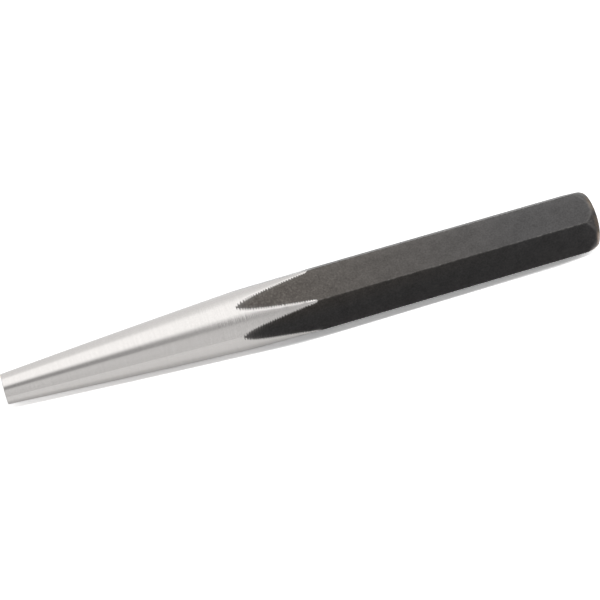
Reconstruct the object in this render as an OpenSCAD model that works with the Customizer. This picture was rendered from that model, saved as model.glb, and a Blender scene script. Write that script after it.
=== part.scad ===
// Solid taper punch: one length of hexagonal tool-steel bar, black all over, with a bright taper
// ground down to a flat point and a chamfer turned on the end that the hammer strikes.
// The bar lies along X on one of its flats, with the point towards -X.

/* [Bar] */
// Size of the drawn bar across two opposite flats
bar_flats = 12.6; // [9:0.1:16]
// Radius of the six rounded corners of the drawn bar
corner_r = 0.4; // [0.2:0.05:1]
// Length from the point to the struck face
overall_len = 127; // [90:0.5:180]

/* [Taper] */
// Diameter of the taper at its point
point_d = 6.35; // [3.2:0.05:8.5]
// Length of the taper, from the point to where the wheel starts to leave the bar
taper_len = 64.5; // [30:0.5:80]
// How far the middle of the taper stands out from a straight cone
taper_belly = 0.19; // [0:0.01:0.4]
// How deep the taper still cuts into the bar's corners where the wheel starts to leave
runout_depth = 0.2; // [0.05:0.05:0.6]
// Angle between the bar's axis and the way that the wheel leaves
runout_angle = 20; // [10:1:60]
// Width of the 45 degree chamfer that takes the sharp edge off the point
point_break = 0.1; // [0.05:0.05:0.5]

/* [Head] */
// Length of the turned chamfer, measured along the bar's corners
head_len = 2.85; // [1:0.05:3.5]
// Angle between the turned chamfer and the bar's axis
head_angle = 25; // [15:1:45]
// Radius between the turned chamfer and the struck face
rim_r = 0.65; // [0.1:0.05:0.8]

/* [Hidden] */
$fn = 96;

// Finish of the bar, and of the steel that grinding lays bare
black_oxide = "#3a3a3a";
ground_steel = "#c8c6c3";

// How far a cut runs out past the steel that it removes
overrun = 1;

// The drawn bar: six flats around the axis, with a corner half way between each two
flat_count = 6;
flat_step = 360 / flat_count;
flat_r = bar_flats / 2;
corner_reach = flat_r / cos(flat_step / 2);
corner_centre_r = (flat_r - corner_r) / cos(flat_step / 2);

// Outside radius of every turned or ground cut
cut_r = corner_reach + overrun;

// The taper: radius at both ends, and radius gained for each length along the bar beside the point
point_r = point_d / 2;
runout_r = corner_reach - runout_depth;
taper_slope = (runout_r - point_r) / taper_len + 4 * taper_belly / taper_len;

// Cones that the taper is ground in, one after another, to give it its belly
taper_cones = 4;

// How far along the taper the chamfer on the point reaches
point_break_len = point_break / (1 - taper_slope);

// The head: the struck face before its rim is rounded, and the centre of the rim's round
face_r = corner_reach - head_len * tan(head_angle);
rim_centre_r = face_r - rim_r * (1 - sin(head_angle)) / cos(head_angle);

// Radius of the taper at a share of its length from the point
function taper_r(share) = point_r + (runout_r - point_r) * share + 4 * taper_belly * share * (1 - share);

// A place at a distance from the axis, in the direction of an angle
function around(reach, angle) = [reach * cos(angle), reach * sin(angle)];

// Where the round of one corner, between flats number i and i + 1, has its centre
function corner_centre(i) = around(corner_centre_r, (i + 0.5) * flat_step);

// Lays a shape that stands on the XY plane along the bar, from the point towards the struck face
module along_bar() {
    translate([-overall_len / 2, 0, flat_r])
        rotate([0, 90, 0])
            children();
}

// Section of the drawn bar: flats joined by a true round at each corner
module bar_section() {
    polygon([
        for (i = [0 : flat_count - 1])
            for (side = [0, 1])
                corner_centre(i) + around(corner_r, (i + side) * flat_step)
    ]);
    for (i = [0 : flat_count - 1])
        translate(corner_centre(i))
            circle(corner_r);
}

// Length of drawn bar, sawn off square at the point's end and left long at the head
module drawn_bar() {
    linear_extrude(overall_len + overrun)
        bar_section();
}

// Round form that turning leaves at the head: chamfer, rounded rim and flat struck face
module turned_head() {
    rotate_extrude() {
        polygon([
            [0, -overrun],
            [cut_r, -overrun],
            [cut_r, overall_len - (cut_r - face_r) / tan(head_angle)],
            [rim_centre_r + rim_r * cos(head_angle), overall_len - rim_r * (1 - sin(head_angle))],
            [rim_centre_r, overall_len],
            [0, overall_len]
        ]);
        translate([rim_centre_r, overall_len - rim_r])
            circle(rim_r);
    }
}

// Steel that grinding takes off around the taper. Where the taper leaves a flat of the bar it
// ends in a curved scallop, and at each corner in a narrow tongue with a blunt end.
module ground_away() {
    rotate_extrude()
        polygon([
            [point_r - point_break - overrun, -overrun],
            [taper_r(point_break_len / taper_len), point_break_len],
            for (i = [1 : taper_cones])
                [taper_r(i / taper_cones), i / taper_cones * taper_len],
            [cut_r, taper_len + (cut_r - runout_r) / tan(runout_angle)],
            [cut_r, -overrun]
        ]);
}

// The whole punch is one piece of steel
module punch() {
    along_bar()
        difference() {
            color(black_oxide)
                intersection() {
                    drawn_bar();
                    turned_head();
                }
            color(ground_steel)
                ground_away();
        }
}

punch();
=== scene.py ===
"""Look of a solid taper punch: a hexagonal steel bar, black all over, with a bright taper
ground down to a flat point and a chamfer turned on the end that the hammer strikes."""
import math

import bpy
from bpy.props import FloatProperty, FloatVectorProperty, IntProperty, PointerProperty
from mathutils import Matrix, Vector


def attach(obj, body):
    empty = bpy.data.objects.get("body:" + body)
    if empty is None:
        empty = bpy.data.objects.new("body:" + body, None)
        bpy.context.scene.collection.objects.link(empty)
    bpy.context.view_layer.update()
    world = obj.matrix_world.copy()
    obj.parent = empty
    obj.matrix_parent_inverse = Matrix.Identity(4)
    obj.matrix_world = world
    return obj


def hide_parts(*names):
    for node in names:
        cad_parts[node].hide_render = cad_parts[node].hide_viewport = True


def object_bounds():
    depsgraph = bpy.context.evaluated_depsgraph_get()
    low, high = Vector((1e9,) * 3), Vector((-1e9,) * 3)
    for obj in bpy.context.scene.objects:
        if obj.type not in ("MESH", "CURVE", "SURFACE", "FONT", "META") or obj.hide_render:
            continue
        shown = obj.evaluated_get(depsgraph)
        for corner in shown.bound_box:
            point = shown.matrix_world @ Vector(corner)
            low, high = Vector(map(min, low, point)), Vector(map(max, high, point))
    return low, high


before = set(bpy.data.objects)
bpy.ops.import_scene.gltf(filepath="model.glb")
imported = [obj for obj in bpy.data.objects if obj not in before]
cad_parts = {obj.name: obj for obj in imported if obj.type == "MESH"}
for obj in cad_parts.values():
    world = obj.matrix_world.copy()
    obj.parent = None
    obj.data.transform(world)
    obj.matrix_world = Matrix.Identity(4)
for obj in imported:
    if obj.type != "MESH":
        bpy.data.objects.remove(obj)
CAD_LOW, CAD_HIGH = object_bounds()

bl_info = {
    "name": "Taper punch",
    "version": (1, 0, 0),
    "blender": (4, 5, 0),
    "location": "3D View > Sidebar > Punch",
    "description": "Makes a ground taper punch and the studio that it is shown in",
    "category": "Object",
}

MM = 0.001
SIDES = 6
SIDE_STEP = 2 * math.pi / SIDES
HALF_SIDE = SIDE_STEP / 2

# Names of what the mesh tells its finish
CUT_DEPTH = "cut_depth"
CORNER_GAP = "corner_gap"
FLAT_RISE = "flat_rise"


def length(name, description, default_mm, low_mm=0.0):
    """A length that a user can change. Its default is given in millimetres."""
    return FloatProperty(
        name=name,
        description=description,
        default=default_mm * MM,
        min=low_mm * MM,
        precision=5,
        subtype="DISTANCE",
        unit="LENGTH",
    )


def angle(name, description, degrees):
    """An angle that a user can change."""
    return FloatProperty(
        name=name,
        description=description,
        default=math.radians(degrees),
        subtype="ANGLE",
        unit="ROTATION",
    )


def share(name, description, default, high=1.0):
    """A plain number from nought upwards, such as a roughness or a brightness."""
    return FloatProperty(
        name=name, description=description, default=default, min=0.0, max=high, subtype="FACTOR"
    )


def colour(name, description, default):
    """A colour of a finish."""
    return FloatVectorProperty(
        name=name, description=description, default=default, size=3, min=0.0, max=1.0, subtype="COLOR"
    )


def count(name, description, default):
    """A whole number, such as a count of rings or a seed."""
    return IntProperty(name=name, description=description, default=default, min=1)


class PunchSizes(bpy.types.PropertyGroup):
    """Sizes of the punch. Each is an input of the punch's node tree."""

    overall_len: length(
        "Overall length", "From the point to the struck face", (CAD_HIGH.x - CAD_LOW.x) / MM
    )
    bar_flats: length(
        "Bar across flats", "Size of the drawn bar over two flats", (CAD_HIGH.z - CAD_LOW.z) / MM
    )
    corner_r: length("Corner radius", "Round of the drawn bar's six corners", 0.2)
    point_d: length("Point diameter", "Taper's diameter at its point", 6.35)
    taper_len: length("Taper length", "From the point to where the wheel starts to leave the bar", 64.9)
    belly: length("Taper belly", "How far the middle of the taper stands out from a straight cone", 0.16)
    runout_depth: length("Run-out depth", "Cut that is left at the corners where the wheel leaves", 0.15)
    runout_angle: angle("Run-out angle", "Between the axis and the way that the wheel leaves", 20)
    point_break: length("Point chamfer", "Chamfer on the edge of the point", 0.1)
    head_len: length("Head chamfer length", "Turned chamfer, measured along the corners", 3.03)
    head_angle: angle("Head chamfer angle", "Between the turned chamfer and the axis", 24.9)
    head_blend: length("Head blend", "Depth over which the chamfer's edges are softened", 0.3)
    rim_r: length("Rim radius", "Round between the chamfer and the struck face", 0.65)
    feed_pitch: length("Feed pitch", "Spacing of the marks that grinding leaves", 0.36, 0.1)
    feed_depth: length("Feed depth", "Usual depth of the marks that grinding leaves", 0.003)
    flat_columns: count("Columns on a flat", "Strips of faces across each flat", 18)
    corner_columns: count("Columns on a corner", "Strips of faces round each corner", 8)
    seed: count("Seed", "Seed of the uneven feed marks", 7)


class PunchFinish(bpy.types.PropertyGroup):
    """Colours, gloss and edges of the two finishes on the one piece of steel."""

    oxide: colour("Black oxide", "Blacked surface of the bar", (0.066, 0.064, 0.064))
    warm: colour("Warm oxide", "Blacked surface of the bar beside the taper", (0.083, 0.075, 0.068))
    worn: colour("Worn edge", "Blacked steel where handling has rubbed it", (0.14, 0.135, 0.13))
    bronze: colour("Bronze tint", "Warm tint of the blacking on the head's rim", (0.2, 0.155, 0.12))
    # Tint of the painted highlight on the front of the head's rim
    rim_highlight_tint: colour("Bare rim", "Front of the head's rim, rubbed nearly bare", (0.55, 0.45, 0.39))
    steel: colour("Ground steel", "Bare steel of the taper", (0.56, 0.542, 0.528))
    oxide_gloss: share("Oxide roughness", "Roughness of the blacked surface", 0.4)
    steel_gloss: share("Steel roughness", "Roughness of the ground taper", 0.2)
    teeth: length("Teeth", "Length of the teeth of black along the edges of the scallops", 0.55)
    tooth_pitch: length("Tooth pitch", "Spacing of the teeth of black", 0.52, 0.1)
    fringe: length("Fringe", "Depth over which the blacking thins out beside the scallops", 0.2)


class PunchStage(bpy.types.PropertyGroup):
    """Studio that shows the punch."""

    floor: share("Floor", "How white the paper is that the punch lies on", 0.85)
    lens: FloatProperty(
        name="Lens", description="Focal length of the camera", default=105.0, subtype="DISTANCE_CAMERA"
    )
    azimuth: angle("Camera azimuth", "Turn of the camera from the front, towards the head", -18.13)
    elevation: angle("Camera elevation", "Height of the camera above the horizon", 62.299)
    distance: length("Camera distance", "From the camera to what it aims at", 361.31)
    aim: FloatVectorProperty(
        name="Camera aim",
        description="Place that the middle of the picture shows",
        default=(-0.617 * MM, 0.768 * MM, 6.3 * MM),
        size=3,
        subtype="TRANSLATION",
        unit="LENGTH",
    )
    lamp: FloatProperty(
        name="Lamp power", description="Power of the strip lamp", default=20.0, subtype="POWER", unit="POWER"
    )
    lamp_away: length("Lamp distance", "From the punch to the strip lamp", 2000)
    lamp_lean: angle("Lamp lean", "Lean of the strip lamp from overhead, towards the front", 13.5)
    lamp_len: length("Lamp length", "Length of the strip lamp, along the bar", 4000)
    lamp_width: length("Lamp width", "Width of the strip lamp", 140)
    lamp_shift: length("Lamp shift", "How far the strip lamp stands towards the head", 700)
    fill: share("Fill", "Light from all round that reaches into the shadow", 0.65, 2.0)
    floor_lift: share("Floor lift", "How much whiter the floor looks than its paper", 0.75)


class Flow:
    """A number in a node tree. Sums of flows add the nodes that work them out."""

    def __init__(self, sheet, socket):
        self.sheet = sheet
        self.socket = socket

    def through(self, operation, *others):
        return self.sheet.math(operation, self, *others)

    def __add__(self, other):
        return self.through("ADD", other)

    def __radd__(self, other):
        return self.through("ADD", other)

    def __sub__(self, other):
        return self.through("SUBTRACT", other)

    def __rsub__(self, other):
        return self.sheet.math("SUBTRACT", other, self)

    def __mul__(self, other):
        return self.through("MULTIPLY", other)

    def __rmul__(self, other):
        return self.through("MULTIPLY", other)

    def __truediv__(self, other):
        return self.through("DIVIDE", other)

    def __mod__(self, other):
        return self.through("FLOORED_MODULO", other)

    def __gt__(self, other):
        return self.through("GREATER_THAN", other)

    def __lt__(self, other):
        return self.through("LESS_THAN", other)

    def __abs__(self):
        return self.through("ABSOLUTE")

    def floor(self):
        return self.through("FLOOR")

    def sin(self):
        return self.through("SINE")

    def cos(self):
        return self.through("COSINE")

    def least(self, other):
        return self.through("MINIMUM", other)

    def most(self, other):
        return self.through("MAXIMUM", other)

    def between(self, low, high):
        """Nought at low and below, one at high and above, and even between them."""
        return self.sheet.math("DIVIDE", self - low, high - low, clamp=True)


class Sheet:
    """Writes a node tree. Each call adds one node."""

    def __init__(self, tree):
        self.tree = tree

    def add(self, kind, inputs=None, **settings):
        node = self.tree.nodes.new(kind)
        for name, value in settings.items():
            setattr(node, name, value)
        for key, value in (inputs or {}).items():
            self.join(value, node.inputs[key])
        return node

    def join(self, value, socket):
        value = value.socket if isinstance(value, Flow) else value
        if isinstance(value, bpy.types.NodeSocket):
            self.tree.links.new(value, socket)
        else:
            socket.default_value = value

    def flow(self, node, output=0):
        return Flow(self, node.outputs[output])

    def math(self, operation, *values, clamp=False):
        node = self.add("ShaderNodeMath", dict(enumerate(values)), operation=operation, use_clamp=clamp)
        return self.flow(node)

    def vector(self, x, y, z):
        return self.add("ShaderNodeCombineXYZ", {0: x, 1: y, 2: z}).outputs[0]

    def mix(self, amount, first, second):
        """Colour that goes from the first to the second."""
        node = self.add("ShaderNodeMix", {0: amount, 6: first, 7: second}, data_type="RGBA")
        return node.outputs[2]

    def noise(self, place, scale, detail, roughness):
        """Even cloud of numbers about a half. The scale is in clouds to the metre."""
        inputs = {"Vector": place, "Scale": scale, "Detail": detail, "Roughness": roughness}
        return self.flow(self.add("ShaderNodeTexNoise", inputs), "Fac")


def new_sheet(name):
    """Material without nodes, and the sheet that writes them."""
    material = bpy.data.materials.new(name)
    material.use_nodes = True
    material.node_tree.nodes.clear()
    return material, Sheet(material.node_tree)


# Rings of the net on each stretch of the outline, and on each groove of the grinding
FACE_RINGS = 6
POINT_EDGE_RINGS = 2
GROOVE_RINGS = 3
RUNOUT_RINGS = 4
BAR_RINGS = 24
CHAMFER_RINGS = 20
RIM_RINGS = 8

# Least and most depth of a groove, in usual depths
GROOVE_CHANCE = (0.5, 1.5)

# Share of the head's chamfer over which its softening grows
BLEND_SHARE = 0.2

# Distance within which places of the net are one place, and the fold from which an edge is crisp
WELD = 0.0005 * MM
CRISP_FOLD = math.radians(25)


def punch_tree():
    """Node tree that turns, grinds and draws the punch from the sizes at its inputs.

    The punch is a net of rings along the bar and columns round it. Each ring has the radius
    that turning and grinding would leave on a round bar, and each column the reach of the
    hexagonal bar that it starts as. The smaller of the two is the surface."""
    tree = bpy.data.node_groups.new("Taper punch", "GeometryNodeTree")
    sheet = Sheet(tree)
    for key in PunchSizes.__annotations__:
        size = PunchSizes.bl_rna.properties[key]
        kind = "NodeSocketInt" if size.type == "INT" else "NodeSocketFloat"
        tree.interface.new_socket(size.name, in_out="INPUT", socket_type=kind)
    tree.interface.new_socket("Finish", in_out="INPUT", socket_type="NodeSocketMaterial")
    tree.interface.new_socket("Punch", in_out="OUTPUT", socket_type="NodeSocketGeometry")
    inputs = sheet.add("NodeGroupInput")

    def given(key):
        return sheet.flow(inputs, PunchSizes.bl_rna.properties[key].name)

    # The drawn bar
    flat_r = given("bar_flats") / 2
    corner_reach = flat_r / math.cos(HALF_SIDE)
    corner_centre = (flat_r - given("corner_r")) / math.cos(HALF_SIDE)

    # The taper and its point
    point_r = given("point_d") / 2
    slope = (corner_reach - given("runout_depth") - point_r) / given("taper_len")
    break_len = given("point_break") / (1 - slope)
    taper_run = given("taper_len") - break_len
    runout_run = given("runout_depth") / given("runout_angle").through("TANGENT")

    # The head
    head_angle = given("head_angle")
    head_sin = head_angle.sin()
    head_cos = head_angle.cos()
    head_slope = head_sin / head_cos
    rim_r = given("rim_r")
    face_r = corner_reach - given("head_len") * head_slope
    rim_centre = face_r - rim_r * (1 - head_sin) / head_cos
    chamfer_run = given("head_len") - rim_r * (1 - head_sin)
    bar_run = given("overall_len") - given("taper_len") - runout_run - given("head_len")

    # Rings from the middle of the point, along the bar, to the middle of the struck face
    grooves = (taper_run / given("feed_pitch")).floor()
    columns = (given("flat_columns") + given("corner_columns")) * SIDES
    index = sheet.flow(sheet.add("GeometryNodeInputIndex"))
    ring = (index / (columns + 1)).floor()
    column = index - ring * (columns + 1)
    rings_made = 0

    def stretch(rings):
        """Share of one stretch of the outline that each ring has behind it, and rings since its start."""
        nonlocal rings_made
        first = rings_made
        rings_made = rings_made + rings
        return (ring - first).between(0, rings), ring - first

    point_face, _ = stretch(FACE_RINGS)
    point_edge, _ = stretch(POINT_EDGE_RINGS)
    taper, taper_ring = stretch(grooves * GROOVE_RINGS)
    runout, _ = stretch(RUNOUT_RINGS)
    bar, _ = stretch(BAR_RINGS)
    chamfer, _ = stretch(CHAMFER_RINGS)
    rim, _ = stretch(RIM_RINGS)
    struck_face, _ = stretch(FACE_RINGS)

    rim_turn = head_angle + rim * (math.pi / 2 - head_angle)
    along = (
        point_edge * break_len
        + taper * taper_run
        + runout * runout_run
        + bar * bar_run
        + chamfer * chamfer_run
        + rim_r * (rim_turn.sin() - head_sin)
        - given("overall_len") / 2
    )
    turned = (
        point_face * (point_r - given("point_break"))
        + point_edge * break_len
        + taper * taper_run * slope
        + given("belly") * 4 * taper * (1 - taper)
        + runout * given("runout_depth")
        - chamfer * chamfer_run * head_slope
        + rim_r * (rim_turn.cos() - head_cos)
        - struck_face * rim_centre
    )

    # Feed marks of the grinding: a crest and two rings on the bottom of the groove after it
    groove = (taper_ring / GROOVE_RINGS).floor()
    shallow, deep = GROOVE_CHANCE
    uneven = {"ID": groove, "Seed": given("seed"), 2: shallow, 3: deep}
    depth = sheet.flow(sheet.add("FunctionNodeRandomValue", uneven, data_type="FLOAT"), 1)
    in_groove = (taper_ring % GROOVE_RINGS > 0.5) * (taper > 0) * (taper < 1)
    turned = turned - in_groove * given("feed_depth") * depth

    # Columns: across one flat, then round the corner after it
    side_columns = given("flat_columns") + given("corner_columns")
    side = (column / side_columns).floor()
    side_column = column - side * side_columns
    half_flat = sheet.math(
        "ARCTAN2", (flat_r - given("corner_r")) * math.tan(HALF_SIDE), flat_r
    )
    across = side_column.between(0, given("flat_columns"))
    round_corner = (side_column - given("flat_columns")).between(0, given("corner_columns"))
    turn = half_flat * (2 * across - 1) + (HALF_SIDE - half_flat) * 2 * round_corner
    off_corner = abs(abs(turn) - HALF_SIDE)
    flat_reach = flat_r / turn.cos()
    corner_side = corner_centre * off_corner.sin()
    corner_depth = (given("corner_r") * given("corner_r") - corner_side * corner_side).through("SQRT")
    round_reach = corner_centre * off_corner.cos() + corner_depth
    stock = flat_reach + (round_reach - flat_reach) * (round_corner > 0)

    # The net, closed where its two sides meet and at the middle of both ends
    softness = given("head_blend") * chamfer.between(0, BLEND_SHARE)
    reach = stock.through("SMOOTH_MIN", turned, softness)
    bearing = turn + side * SIDE_STEP + HALF_SIDE
    place = sheet.vector(along, reach * bearing.cos(), flat_r + reach * bearing.sin())
    net = sheet.add("GeometryNodeMeshGrid", {"Vertices X": rings_made + 1, "Vertices Y": columns + 1})
    made = net.outputs["Mesh"]
    notes = (
        (CUT_DEPTH, stock - turned),
        (CORNER_GAP, off_corner * corner_reach),
        (FLAT_RISE, abs(turn.sin())),
    )
    for name, value in notes:
        note = sheet.add("GeometryNodeStoreNamedAttribute", {"Geometry": made, "Name": name, "Value": value})
        made = note.outputs[0]
    made = sheet.add("GeometryNodeSetPosition", {"Geometry": made, "Position": place}).outputs[0]
    made = sheet.add("GeometryNodeMergeByDistance", {"Geometry": made, "Distance": WELD}).outputs[0]

    # Rounds shade smoothly, and the edges of the point stay crisp
    made = sheet.add("GeometryNodeSetShadeSmooth", {"Geometry": made, "Shade Smooth": True}).outputs[0]
    fold = sheet.flow(sheet.add("GeometryNodeInputMeshEdgeAngle"))
    crisp = {"Geometry": made, "Selection": fold > CRISP_FOLD, "Shade Smooth": False}
    made = sheet.add("GeometryNodeSetShadeSmooth", crisp, domain="EDGE").outputs[0]
    made = sheet.add("GeometryNodeRealizeInstances", {"Geometry": made}).outputs[0]
    finish = {"Geometry": made, "Material": inputs.outputs["Finish"]}
    made = sheet.add("GeometryNodeSetMaterial", finish).outputs[0]
    sheet.add("NodeGroupOutput", {"Punch": made})
    return tree


def punch_mesh(sizes, finish):
    """Plain mesh of the punch, worked out by its node tree."""
    tree = punch_tree()
    maker = bpy.data.objects.new("punch_maker", bpy.data.meshes.new("punch_maker"))
    bpy.context.scene.collection.objects.link(maker)
    modifier = maker.modifiers.new("Taper punch", "NODES")
    modifier.node_group = tree
    keys = {PunchSizes.bl_rna.properties[key].name: key for key in PunchSizes.__annotations__}
    for item in tree.interface.items_tree:
        if item.in_out == "INPUT":
            given = getattr(sizes, keys[item.name]) if item.name in keys else finish
            modifier[item.identifier] = given
    graph = bpy.context.evaluated_depsgraph_get()
    mesh = bpy.data.meshes.new_from_object(maker.evaluated_get(graph))
    maker.modifiers.remove(modifier)
    bpy.data.objects.remove(maker)
    return mesh


def swing(noise, amount):
    """Noise that swings about nought, by half the amount either way."""
    return amount * (noise - 0.5)


class SteelFinish:
    """One steel with two finishes: blacked where the bar is left as drawn or is turned, and bright
    where grinding cut into it.

    A pair of values is the span over which a part of the finish fades in, from none of it to all of
    it. Spans along the bar start from the middle of its length and go towards the head. Spans across
    it start from its axis and go towards the back."""

    # Noise: clouds to the metre, detail and roughness
    GRAIN = (2600, 3, 0.6)
    CLOUDS = (420, 4, 0.5)
    FLECK_CLOUDS = (2200, 2, 0.6)
    CORNER_CLOUDS = (1500, 3, 0.5)
    TOOTH_DRIFT = (500, 1, 0.5)
    TOOTH_LENGTHS = (1800, 1, 0.5)
    WAVES = (3200, 2, 0.5)

    # Noise that is drawn out into lines where its scale on an axis is below one: that, and the same three
    DRAWN = ((0.06, 1, 1), 4200, 2, 0.5)
    LINES = ((1, 0.04, 0.04), 9000, 3, 0.7)
    SCORES = ((1, 0.05, 0.05), 2600, 2, 0.5)

    # How far noise swings the brightness and the roughness of the black
    GRAIN_SWING = 0.9
    CLOUD_SWING = 0.45
    DRAWN_SWING = 0.15
    GRAIN_GLOSS = 0.16

    # How far noise swings the brightness and the roughness of the bright steel
    LINE_SWING = 0.12
    SCORE_SWING = 0.08
    WAVE_SWING = 0.12
    LINE_GLOSS = 0.1

    # The upper flat, in shares of the bar's height, its back edge and its corner at the front
    UPPER = (0.75, 0.95)
    BACK_EDGE = (1.4 * MM, 3.2 * MM)
    FRONT_CORNER = (-3.7 * MM, -3.5 * MM)

    # Where the taper's half of the bar ends, and where the warm tint of the upper flat does
    TAPER_END = (1 * MM, 4 * MM)
    WARM_END = (-5 * MM, 47 * MM)

    # Teeth of black: wander in radians, least length and what chance adds to it. They grow with the
    # rise, which is nought at the middle of a flat, and fade again towards the corners.
    TOOTH_WANDER = 9
    TOOTH_LEAST = 0.25
    TOOTH_CHANCE = 0.6
    TOOTH_GROWTH = 1.55
    TOOTH_FADE = 2.1
    TOOTH_CORNER = (0.15 * MM, 0.5 * MM)

    # Edge between black and bright: its softness, what the tips of the scallops lose to the black, in
    # fringes, and what the tongues on the four lower corners lose, so that they run out to a point
    EDGE = (-0.001 * MM, 0.001 * MM)
    TIP_LOSS = 0.125
    TIP_RISE = (0, 0.17)
    TONGUE_LOSS = 0.12 * MM
    TONGUE_END = (-4 * MM, 1.4 * MM)

    # Head: its shoulder about the chamfer's start, and its rim in rim radii and by distance from the axis
    SHOULDER = (-0.45 * MM, 0.15 * MM)
    RIM = (0, 1.5)
    RIM_RADIUS = (4.7 * MM, 5.5 * MM)
    BRONZE_CLOUDS = (0.3, 0.55)

    # Painted highlight on the front of the head: its strength, from the rim's start, up from the floor, and
    # ahead of the axis
    RIM_HIGHLIGHT_SHARE = 0.8
    RIM_HIGHLIGHT_START = (0.3 * MM, 0.8 * MM)
    RIM_HIGHLIGHT_HEIGHT = (5.6 * MM, 6.6 * MM)
    RIM_HIGHLIGHT_FRONT = (5 * MM, 5.7 * MM)

    # Rubbed places: reach from a corner, the parts of it, how rubbed the shoulder is, and its depth
    CORNER_WEAR = (0.03 * MM, 0.28 * MM)
    CORNER_PARTS = (0.45, 0.75)
    SHOULDER_WEAR = 0.4
    SHOULDER_DEPTH = (0.02 * MM, 0.25 * MM)

    # Light flecks on the warm part of the upper flat, and the light on its back edge
    FLECKS = (0.5, 0.66)
    FLECK_LIGHT = 0.35
    FLECK_SHARE = 0.3
    BACK_LIGHT = 0.14

    # Black is smoother where it is seen edge on, and bright steel between the scallops
    EDGE_ON = (0.8, 0.93)
    EDGE_ON_GLOSS = 0.8
    SCALLOP_START = (-22 * MM, -13 * MM)
    SCALLOP_GLOSS = 0.15

    # Painted highlight: bright steel made lighter along the edge of the upper flat's scallop
    SCALLOP_HIGHLIGHT_DEPTH = (0.02 * MM, 0.14 * MM)
    SCALLOP_HIGHLIGHT_START = (-13.5 * MM, -10 * MM)
    SCALLOP_HIGHLIGHT_LIGHT = 0.25

    # Relief of the surface, and the parts that lines and waves have in that of the bright steel
    BUMP_STRENGTH = 0.35
    BUMP_HEIGHT = 0.01 * MM
    LINE_RELIEF = 0.3
    WAVE_RELIEF = 0.8

    def __init__(self, finish, sizes):
        self.finish = finish
        self.sizes = sizes
        self.material, self.sheet = new_sheet("black_and_ground_steel")
        self.find_places()
        self.find_ground()
        self.write()

    def noise(self, scale, detail, roughness):
        """Noise that is the same in every direction."""
        return self.sheet.noise(self.place, scale, detail, roughness)

    def streaks(self, stretch, scale, detail, roughness):
        """Noise that is drawn out into lines."""
        stretched = self.sheet.add("ShaderNodeMapping", {"Vector": self.place, "Scale": stretch})
        return self.sheet.noise(stretched.outputs[0], scale, detail, roughness)

    def tinted(self, tint, strength):
        """Colour that is made lighter or darker by a strength about one."""
        inputs = {0: tint, 1: self.sheet.vector(strength, strength, strength)}
        return self.sheet.add("ShaderNodeVectorMath", inputs, operation="MULTIPLY").outputs[0]

    def find_places(self):
        """Where a point of the surface lies on the punch."""
        sheet, sizes = self.sheet, self.sizes
        self.place = sheet.add("ShaderNodeTexCoord").outputs["Object"]
        axes = sheet.add("ShaderNodeSeparateXYZ", {0: self.place})
        self.along, self.across, self.height = (sheet.flow(axes, axis) for axis in "XYZ")
        self.cut, self.gap, self.rise = (
            sheet.flow(sheet.add("ShaderNodeAttribute", attribute_name=name), "Fac")
            for name in (CUT_DEPTH, CORNER_GAP, FLAT_RISE)
        )
        off_axis = self.height - sizes.bar_flats / 2
        self.radius = (self.across * self.across + off_axis * off_axis).through("SQRT")
        self.upper = (self.height / sizes.bar_flats).between(*self.UPPER)
        self.taper_side = 1 - self.along.between(*self.TAPER_END)
        self.warmth = (1 - self.along.between(*self.WARM_END)) * self.upper
        head_end = sizes.overall_len / 2
        self.head = (self.along - (head_end - sizes.head_len)).between(*self.SHOULDER)
        self.past_rim = self.along - (head_end - 2 * sizes.rim_r)

    def find_ground(self):
        """Where grinding has cut through the black, and where the black thins out beside that.

        Teeth of black stand into both sides of a scallop."""
        turns = self.along * (2 * math.pi / self.finish.tooth_pitch)
        saw = (turns + self.TOOTH_WANDER * self.noise(*self.TOOTH_DRIFT)).sin()
        lengths = self.TOOTH_LEAST + self.TOOTH_CHANCE * self.noise(*self.TOOTH_LENGTHS)
        growth = self.rise * (self.TOOTH_GROWTH - self.TOOTH_FADE * self.rise)
        teeth = saw * lengths * self.finish.teeth * growth * self.gap.between(*self.TOOTH_CORNER)
        tip = self.TIP_LOSS * self.finish.fringe * (1 - self.rise.between(*self.TIP_RISE))
        tongue = self.TONGUE_LOSS * self.along.between(*self.TONGUE_END) * (1 - self.upper)
        self.bite = self.cut - teeth - tip - tongue
        self.ground = self.bite.between(*self.EDGE) * (self.taper_side > 0)
        self.thin = self.bite.between(-self.finish.fringe, 0) * self.taper_side

    def rubbed(self):
        """Rubbed places: parts of the six corners, the shoulder of the head, and beside the taper."""
        parts = self.noise(*self.CORNER_CLOUDS).between(*self.CORNER_PARTS)
        corner = (1 - self.gap.between(*self.CORNER_WEAR)) * parts
        shoulder = (1 - abs(self.cut).between(*self.SHOULDER_DEPTH)) * self.head * self.upper
        return corner.most(shoulder * self.SHOULDER_WEAR).most(self.thin * self.thin)

    def painted_rim_highlight(self):
        """Painted highlight: a light tint on the front of the head's rim and underside."""
        rim = self.past_rim.between(*self.RIM_HIGHLIGHT_START)
        underside = self.head * (1 - self.height.between(*self.RIM_HIGHLIGHT_HEIGHT))
        return self.RIM_HIGHLIGHT_SHARE * rim.most(underside) * (0 - self.across).between(*self.RIM_HIGHLIGHT_FRONT)

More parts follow.
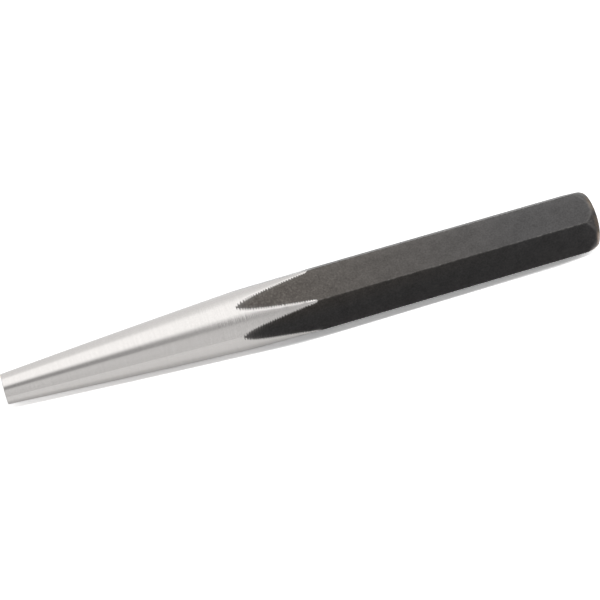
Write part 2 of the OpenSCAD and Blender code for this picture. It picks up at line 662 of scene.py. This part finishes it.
    def black(self):
        """Colour, roughness and relief of the blacked surface: grain, cloudy patches, lines from drawing,
        flecks and warmth beside the taper, a bronze rim, a painted highlight on the head, and rubbed places."""
        sheet, finish = self.sheet, self.finish
        grain = self.noise(*self.GRAIN)
        clouds = self.noise(*self.CLOUDS)
        drawn = self.streaks(*self.DRAWN)
        flecks = self.noise(*self.FLECK_CLOUDS).between(*self.FLECKS) - self.FLECK_SHARE
        shade = 1 + swing(grain, self.GRAIN_SWING) + swing(clouds, self.CLOUD_SWING)
        shade = shade + swing(drawn, self.DRAWN_SWING)
        shade = shade + self.BACK_LIGHT * self.across.between(*self.BACK_EDGE)
        shade = shade + self.FLECK_LIGHT * flecks * self.warmth * self.warmth
        rim = (self.past_rim / self.sizes.rim_r).between(*self.RIM) * self.radius.between(*self.RIM_RADIUS)
        tint = sheet.mix(self.warmth, (*finish.oxide, 1), (*finish.warm, 1))
        tint = sheet.mix(rim * clouds.between(*self.BRONZE_CLOUDS), tint, (*finish.bronze, 1))
        # Painted highlight: light tint on the front of the head's rim and underside
        tint = sheet.mix(self.painted_rim_highlight(), tint, (*finish.rim_highlight_tint, 1))
        tint = sheet.mix(self.rubbed(), tint, (*finish.worn, 1))
        facing = sheet.flow(sheet.add("ShaderNodeLayerWeight"), "Facing")
        smoother = 1 - self.EDGE_ON_GLOSS * facing.between(*self.EDGE_ON) * self.taper_side
        roughness = (finish.oxide_gloss + swing(grain, self.GRAIN_GLOSS)) * smoother
        return self.tinted(tint, shade), roughness, grain

    def bright(self):
        """Colour, roughness and relief of the ground surface: fine and coarse lines round the taper,
        faint waves, and a painted highlight beside the upper flat's scallop."""
        lines = self.streaks(*self.LINES)
        scores = self.streaks(*self.SCORES)
        waves = self.noise(*self.WAVES)
        # Painted highlight beside the upper flat's scallop, near its front corner
        scallop_highlight = (1 - self.bite.between(*self.SCALLOP_HIGHLIGHT_DEPTH)) * self.along.between(*self.SCALLOP_HIGHLIGHT_START)
        scallop_highlight = scallop_highlight * self.upper * self.across.between(*self.FRONT_CORNER)
        shade = 1 + swing(lines, self.LINE_SWING) + swing(scores, self.SCORE_SWING)
        shade = shade + swing(waves, self.WAVE_SWING) + self.SCALLOP_HIGHLIGHT_LIGHT * scallop_highlight
        smoother = 1 - self.SCALLOP_GLOSS * self.along.between(*self.SCALLOP_START)
        roughness = (self.finish.steel_gloss + swing(lines, self.LINE_GLOSS)) * smoother
        relief = lines * self.LINE_RELIEF + waves * self.WAVE_RELIEF
        return self.tinted(self.finish.steel, shade), roughness, relief

    def write(self):
        """Puts the two finishes together on one surface."""
        sheet, ground = self.sheet, self.ground
        black, black_roughness, black_relief = self.black()
        bright, bright_roughness, bright_relief = self.bright()
        bump = sheet.add("ShaderNodeBump", {
            "Strength": self.BUMP_STRENGTH,
            "Distance": self.BUMP_HEIGHT,
            "Height": black_relief * (1 - ground) + bright_relief * ground,
        })
        shader = sheet.add("ShaderNodeBsdfPrincipled", {
            "Base Color": sheet.mix(ground, black, bright),
            "Metallic": 1.0,
            "Roughness": black_roughness * (1 - ground) + bright_roughness * ground,
            "Normal": bump.outputs[0],
        })
        sheet.add("ShaderNodeOutputMaterial", {"Surface": shader.outputs[0]})


class PUNCH_OT_make_punch(bpy.types.Operator):
    """Makes the punch: one piece of hexagonal steel with a ground taper and a turned head"""

    bl_idname = "punch.make_punch"
    bl_label = "Make punch"

    def execute(self, context):
        scene = context.scene
        finish = SteelFinish(scene.punch_finish, scene.punch_sizes).material
        mesh = punch_mesh(scene.punch_sizes, finish)
        if not mesh.polygons:
            raise RuntimeError("the punch's node tree made no faces")
        mesh.name = "taper_punch"
        punch = bpy.data.objects.new("taper_punch", mesh)
        scene.collection.objects.link(punch)
        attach(punch, "root")
        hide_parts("punch")
        return {"FINISHED"}


def plane(name, corners, material):
    """Flat sheet with four corners."""
    mesh = bpy.data.meshes.new(name)
    mesh.from_pydata(corners, [], [(0, 1, 2, 3)])
    mesh.materials.append(material)
    board = bpy.data.objects.new(name, mesh)
    bpy.context.scene.collection.objects.link(board)
    return board


# Paper: half the width of its sheets, and the step down from the punch to each of them
PAPER_HALF = 2000 * MM
PAPER_STEP = 0.02 * MM

# Painted shade on the paper that metal shows: how white it is right before the punch, and where it
# ends ahead of the axis. Past the head the painted shade reaches further out.
PAINTED_SHADE_WHITE = 0.66
PAINTED_SHADE_END = (5.3 * MM, 13.7 * MM)
PAST_HEAD = (64 * MM, 72 * MM)
PAST_HEAD_REACH = 0.4

# Line ahead of the axis past which the camera sees the paper white again, a painted light that cuts the
# shadow short. It draws in towards the point and towards the head, from a place along the bar, by a share of
# the length from there on.
LINE_AHEAD = 5.88 * MM
LINE_TO_POINT = (-3 * MM, 0.072)
LINE_TO_HEAD = (5 * MM, 0.0145)
LINE_FADE = (-0.15 * MM, 0.4 * MM)
LINE_LIFT = 2.5


def floor_paper(name, stage, near):
    """White paper. It keeps the shadow, and is plain white to the eye, straight or in metal, apart from a
    painted shade right before the punch.

    Near is how white the paper is in that painted shade; at one there is none."""
    material, sheet = new_sheet(name)
    path = sheet.add("ShaderNodeLightPath")
    to_camera, in_metal, in_glass = (
        sheet.flow(path, kind) for kind in ("Is Camera Ray", "Is Glossy Ray", "Is Transmission Ray")
    )
    seen = (to_camera + in_metal + in_glass).least(1) * stage.floor_lift
    axes = sheet.add("ShaderNodeSeparateXYZ", {0: sheet.add("ShaderNodeTexCoord").outputs["Object"]})
    along = sheet.flow(axes, "X")
    ahead = 0 - sheet.flow(axes, "Y")
    painted_shade_ahead = ahead * (1 - PAST_HEAD_REACH * along.between(*PAST_HEAD))
    # Painted shade: the paper is made greyer right before the punch
    white = 1 - (1 - near) * (ahead > 0) * (1 - painted_shade_ahead.between(*PAINTED_SHADE_END))
    point_start, point_slope = LINE_TO_POINT
    head_start, head_slope = LINE_TO_HEAD
    pointward = (point_start - along).most(0)
    headward = (along - head_start).most(0)
    line = LINE_AHEAD - pointward * point_slope - headward * head_slope
    past_line = (ahead - line).between(*LINE_FADE) * to_camera
    lifted = seen * white * (1 + LINE_LIFT * past_line)
    paper, lift = (
        sheet.add("ShaderNodeBsdfDiffuse", {"Color": sheet.vector(level, level, level)}).outputs[0]
        for level in (white * stage.floor, lifted)
    )
    both = sheet.add("ShaderNodeAddShader", {0: paper, 1: lift})
    sheet.add("ShaderNodeOutputMaterial", {"Surface": both.outputs[0]})
    return material


def lay_paper(stage):
    """Two sheets of the same paper. The camera sees the upper one, with the lamp's shadow, and metal
    shows the lower one, which only the fill reaches and which carries a painted shade before the punch."""
    half = PAPER_HALF
    sheets = (("floor", -PAPER_STEP, 1.0), ("floor_in_metal", -2 * PAPER_STEP, PAINTED_SHADE_WHITE))
    upper, lower = (
        plane(
            name,
            [(-half, -half, z), (half, -half, z), (half, half, z), (-half, half, z)],
            floor_paper(name, stage, near),
        )
        for name, z, near in sheets
    )
    upper.visible_diffuse = False
    upper.visible_glossy = False
    upper.visible_transmission = False
    lower.visible_camera = False


# Grey card before the punch: its ends along the bar, its distance ahead, its edges and its grey
CARD_ALONG = (-11.9 * MM, 75.8 * MM)
CARD_AHEAD = 31.6 * MM
CARD_HEIGHT = (0.84 * MM, 15 * MM)
CARD_GREY = 0.3


def stand_card():
    """Grey card that keeps the floor's white out of the front flat. Only metal shows it."""
    material = bpy.data.materials.new("grey_card")
    material.use_nodes = True
    shader = material.node_tree.nodes["Principled BSDF"]
    shader.inputs["Base Color"].default_value = (CARD_GREY, CARD_GREY, CARD_GREY, 1)
    shader.inputs["Roughness"].default_value = 1.0
    shader.inputs["Specular IOR Level"].default_value = 0.0
    left, right = CARD_ALONG
    foot, top = CARD_HEIGHT
    out = -CARD_AHEAD
    corners = [(left, out, foot), (left, out, top), (right, out, top), (right, out, foot)]
    card = plane("card", corners, material)
    card.visible_camera = False
    card.visible_diffuse = False
    card.visible_shadow = False


# What the punch sees round it, from behind over the top to the front: (degrees, brightness)
SURROUND = (
    (0, 1.11),
    (25, 1.11),
    (47, 1.64),
    (87, 1.64),
    (108, 0.39),
    (115, 0.39),
    (131, 0.95),
    (180, 0.84),
)
SURROUND_PEAK = 1.7
HALF_TURN = 180

# Towards the head the strips spread out from the middle one, and the gap at the lens closes. This is
# by how far a ray goes along the bar. Angles are shares of the half turn from behind to the front.
SPREAD_START = (-0.005, 0.03)
SPREAD_END = (0.1, 0.2)
SPREAD = 0.52
SPREAD_MIDDLE = 65 / HALF_TURN
GAP_START = (90 / HALF_TURN, 108 / HALF_TURN)
GAP_END = (115 / HALF_TURN, 131 / HALF_TURN)
GAP_CLOSED = 0.22


def set_surround(stage):
    """World: strip light over the bar with a gap at the lens, a plain fill for shadows, and white."""
    world = bpy.data.worlds.new("studio")
    bpy.context.scene.world = world
    world.use_nodes = True
    world.cycles.sampling_method = "NONE"
    world.node_tree.nodes.clear()
    sheet = Sheet(world.node_tree)
    place = sheet.add("ShaderNodeTexCoord").outputs["Generated"]
    axes = sheet.add("ShaderNodeSeparateXYZ", {0: place})
    headward = sheet.flow(axes, "X")
    spread = headward.between(*SPREAD_START) * (1 - headward.between(*SPREAD_END))
    over = sheet.math("ARCTAN2", sheet.flow(axes, "Z"), sheet.flow(axes, "Y")) / math.pi
    over = SPREAD_MIDDLE + (over - SPREAD_MIDDLE) / (1 + SPREAD * spread)
    ramp = sheet.add("ShaderNodeValToRGB", {"Fac": over})
    ramp.color_ramp.interpolation = "EASE"
    stops = ramp.color_ramp.elements
    while len(stops) < len(SURROUND):
        stops.new(0.5)
    for stop, (degrees, level) in zip(stops, SURROUND):
        stop.position = degrees / HALF_TURN
        stop.color = (*(level / SURROUND_PEAK,) * 3, 1)
    closed = GAP_CLOSED * spread * over.between(*GAP_START) * (1 - over.between(*GAP_END))
    level = sheet.flow(sheet.add("ShaderNodeRGBToBW", {0: ramp.outputs[0]})) + closed
    strips, fill, white = (
        sheet.add("ShaderNodeBackground", {"Color": tint, "Strength": strength}).outputs[0]
        for tint, strength in (
            (sheet.vector(level, level, level), SURROUND_PEAK),
            ((1, 1, 1, 1), stage.fill),
            ((1, 1, 1, 1), 1.0),
        )
    )
    path = sheet.add("ShaderNodeLightPath")
    lit = sheet.add("ShaderNodeMixShader", {0: path.outputs["Is Diffuse Ray"], 1: strips, 2: fill})
    seen = {0: path.outputs["Is Camera Ray"], 1: lit.outputs[0], 2: white}
    sheet.add("ShaderNodeOutputWorld", {"Surface": sheet.add("ShaderNodeMixShader", seen).outputs[0]})


def hang_lamp(stage):
    """Strip lamp along the bar. It throws the shadow, and metal doesn't show it."""
    lamp = bpy.data.lights.new("strip_lamp", "AREA")
    lamp.shape = "RECTANGLE"
    lamp.energy = stage.lamp
    lamp.size = stage.lamp_len
    lamp.size_y = stage.lamp_width
    lamp_object = bpy.data.objects.new("strip_lamp", lamp)
    lean = stage.lamp_lean
    away = stage.lamp_away
    lamp_object.location = (stage.lamp_shift, -math.sin(lean) * away, math.cos(lean) * away)
    lamp_object.rotation_euler = (lean, 0, 0)
    lamp_object.visible_glossy = False
    bpy.context.scene.collection.objects.link(lamp_object)


# Nearest thing that the camera shows
CAMERA_CLIP = 10 * MM


def set_camera(stage):
    """Camera that looks down on the punch from the front."""
    camera = bpy.data.cameras.new("camera")
    camera.lens = stage.lens
    camera.clip_start = CAMERA_CLIP
    camera_object = bpy.data.objects.new("camera", camera)
    flat = math.cos(stage.elevation)
    back = Vector((
        math.sin(stage.azimuth) * flat,
        -math.cos(stage.azimuth) * flat,
        math.sin(stage.elevation),
    ))
    camera_object.location = Vector(stage.aim) + back * stage.distance
    camera_object.rotation_euler = back.to_track_quat("Z", "Y").to_euler()
    bpy.context.scene.collection.objects.link(camera_object)
    bpy.context.scene.camera = camera_object


class PUNCH_OT_set_stage(bpy.types.Operator):
    """Sets the floor, the light and the camera"""

    bl_idname = "punch.set_stage"
    bl_label = "Set stage"

    def execute(self, context):
        stage = context.scene.punch_stage
        context.scene.view_settings.view_transform = "Standard"
        lay_paper(stage)
        stand_card()
        set_surround(stage)
        hang_lamp(stage)
        set_camera(stage)
        return {"FINISHED"}


class PUNCH_PT_sidebar(bpy.types.Panel):
    """Sizes, finish and stage of the punch"""

    bl_idname = "PUNCH_PT_sidebar"
    bl_label = "Taper punch"
    bl_space_type = "VIEW_3D"
    bl_region_type = "UI"
    bl_category = "Punch"

    def draw(self, context):
        scene = context.scene
        steps = (
            (PUNCH_OT_make_punch, (scene.punch_sizes, scene.punch_finish)),
            (PUNCH_OT_set_stage, (scene.punch_stage,)),
        )
        for operator, groups in steps:
            box = self.layout.box()
            for group in groups:
                for key in group.__annotations__:
                    box.prop(group, key)
            box.operator(operator.bl_idname)


CLASSES = (
    PunchSizes,
    PunchFinish,
    PunchStage,
    PUNCH_OT_make_punch,
    PUNCH_OT_set_stage,
    PUNCH_PT_sidebar,
)


def register():
    for each in CLASSES:
        bpy.utils.register_class(each)
    bpy.types.Scene.punch_sizes = PointerProperty(type=PunchSizes)
    bpy.types.Scene.punch_finish = PointerProperty(type=PunchFinish)
    bpy.types.Scene.punch_stage = PointerProperty(type=PunchStage)


def unregister():
    del bpy.types.Scene.punch_stage
    del bpy.types.Scene.punch_finish
    del bpy.types.Scene.punch_sizes
    for each in reversed(CLASSES):
        bpy.utils.unregister_class(each)


def main():
    register()
    bpy.ops.punch.make_punch()
    bpy.ops.punch.set_stage()


if __name__ == "__main__":
    main()
